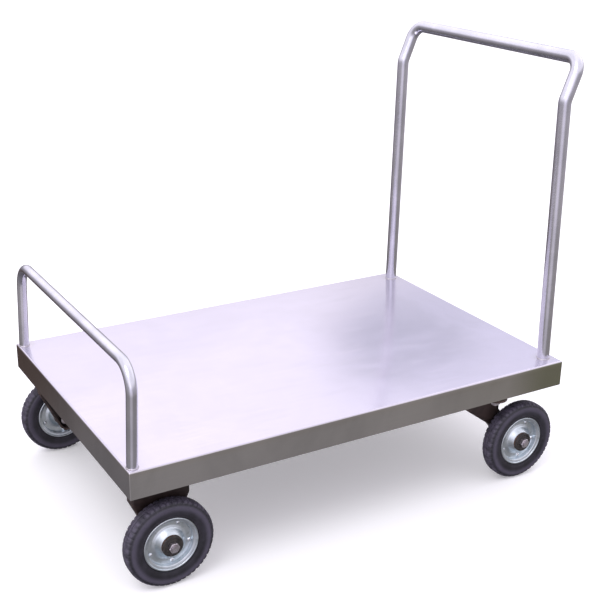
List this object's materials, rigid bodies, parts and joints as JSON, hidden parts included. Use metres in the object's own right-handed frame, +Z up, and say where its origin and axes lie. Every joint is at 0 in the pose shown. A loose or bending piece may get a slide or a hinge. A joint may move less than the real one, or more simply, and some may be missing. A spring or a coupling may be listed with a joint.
{
  "type": "platform truck",
  "caption": "Flatbed platform truck with a folded stainless deck, a tall push handle, a low guard rail and rubber-tyred fixed and swivel castors.",
  "frame": {"origin": "on the floor, under the middle of the whole truck's bounding box", "axes": "+X along the deck towards the push handle, +Y across the deck, +Z up"},
  "size_m": [1.2342, 0.7922, 1.0999],
  "materials": {
    "stainless_sheet": "brushed stainless sheet",
    "stainless_tube": "polished stainless tube",
    "frame_steel": "dark red-brown painted steel",
    "bracket_paint": "dark red-brown painted steel, worn at the edges",
    "zinc_plate": "zinc plated pressed steel, slightly blue",
    "bright_steel": "plain turned steel",
    "bearing_steel": "ground steel",
    "rubber": "black solid rubber",
    "seal_rubber": "black moulded seal"
  },
  "bodies": {
    "chassis": {"deck_tray": "stainless_sheet", "castor_beam_fixed": "frame_steel", "castor_beam_swivel": "frame_steel", "long_rail_near": "frame_steel", "long_rail_far": "frame_steel", "cross_member": "frame_steel", "push_handle": "stainless_tube", "guard_rail": "stainless_tube", "fixed_bracket_near": "bracket_paint", "axle_fixed_near": "bright_steel", "axle_nut_fixed_near": "bright_steel", "swivel_plate_near": "bracket_paint", "ball_race_near": "bearing_steel", "kingpin_near": "bright_steel", "kingpin_nut_near": "bright_steel", "fixed_bracket_far": "bracket_paint", "axle_fixed_far": "bright_steel", "axle_nut_fixed_far": "bright_steel", "swivel_plate_far": "bracket_paint", "ball_race_far": "bearing_steel", "kingpin_far": "bright_steel", "kingpin_nut_far": "bright_steel"},
    "swivel_near": {"swivel_fork_near": "bracket_paint", "axle_swivel_near": "bright_steel", "axle_nut_swivel_near": "bright_steel"},
    "swivel_far": {"swivel_fork_far": "bracket_paint", "axle_swivel_far": "bright_steel", "axle_nut_swivel_far": "bright_steel"},
    "wheel_fixed_near": {"tyre_fixed_near": "rubber", "rim_outer_fixed_near": "zinc_plate", "rim_inner_fixed_near": "zinc_plate", "hub_fixed_near": "frame_steel", "bearing_outer_fixed_near": "bearing_steel", "bearing_inner_fixed_near": "bearing_steel", "hub_seal_fixed_near": "seal_rubber"},
    "wheel_fixed_far": {"tyre_fixed_far": "rubber", "rim_outer_fixed_far": "zinc_plate", "rim_inner_fixed_far": "zinc_plate", "hub_fixed_far": "frame_steel", "bearing_outer_fixed_far": "bearing_steel", "bearing_inner_fixed_far": "bearing_steel", "hub_seal_fixed_far": "seal_rubber"},
    "wheel_swivel_near": {"tyre_swivel_near": "rubber", "rim_outer_swivel_near": "zinc_plate", "rim_inner_swivel_near": "zinc_plate", "hub_swivel_near": "frame_steel", "bearing_outer_swivel_near": "bearing_steel", "bearing_inner_swivel_near": "bearing_steel", "hub_seal_swivel_near": "seal_rubber"},
    "wheel_swivel_far": {"tyre_swivel_far": "rubber", "rim_outer_swivel_far": "zinc_plate", "rim_inner_swivel_far": "zinc_plate", "hub_swivel_far": "frame_steel", "bearing_outer_swivel_far": "bearing_steel", "bearing_inner_swivel_far": "bearing_steel", "hub_seal_swivel_far": "seal_rubber"}
  },
  "joints": [
    {"name": "swivel_turn_near", "type": "hinge", "parent": "chassis", "child": "swivel_near", "pos_m": [0.4013, -0.3595, 0.25], "axis": [0, 0, 1], "continuous": true},
    {"name": "swivel_turn_far", "type": "hinge", "parent": "chassis", "child": "swivel_far", "pos_m": [0.4013, 0.3595, 0.25], "axis": [0, 0, 1], "continuous": true},
    {"name": "wheel_spin_fixed_near", "type": "hinge", "parent": "chassis", "child": "wheel_fixed_near", "pos_m": [-0.5117, -0.3595, 0.1055], "axis": [0, 1, 0], "continuous": true},
    {"name": "wheel_spin_swivel_near", "type": "hinge", "parent": "swivel_near", "child": "wheel_swivel_near", "pos_m": [0.4863, -0.3595, 0.1055], "axis": [0, 1, 0], "continuous": true},
    {"name": "wheel_spin_fixed_far", "type": "hinge", "parent": "chassis", "child": "wheel_fixed_far", "pos_m": [-0.5117, 0.3595, 0.1055], "axis": [0, 1, 0], "continuous": true},
    {"name": "wheel_spin_swivel_far", "type": "hinge", "parent": "swivel_far", "child": "wheel_swivel_far", "pos_m": [0.4863, 0.3595, 0.1055], "axis": [0, 1, 0], "continuous": true}
  ]
}
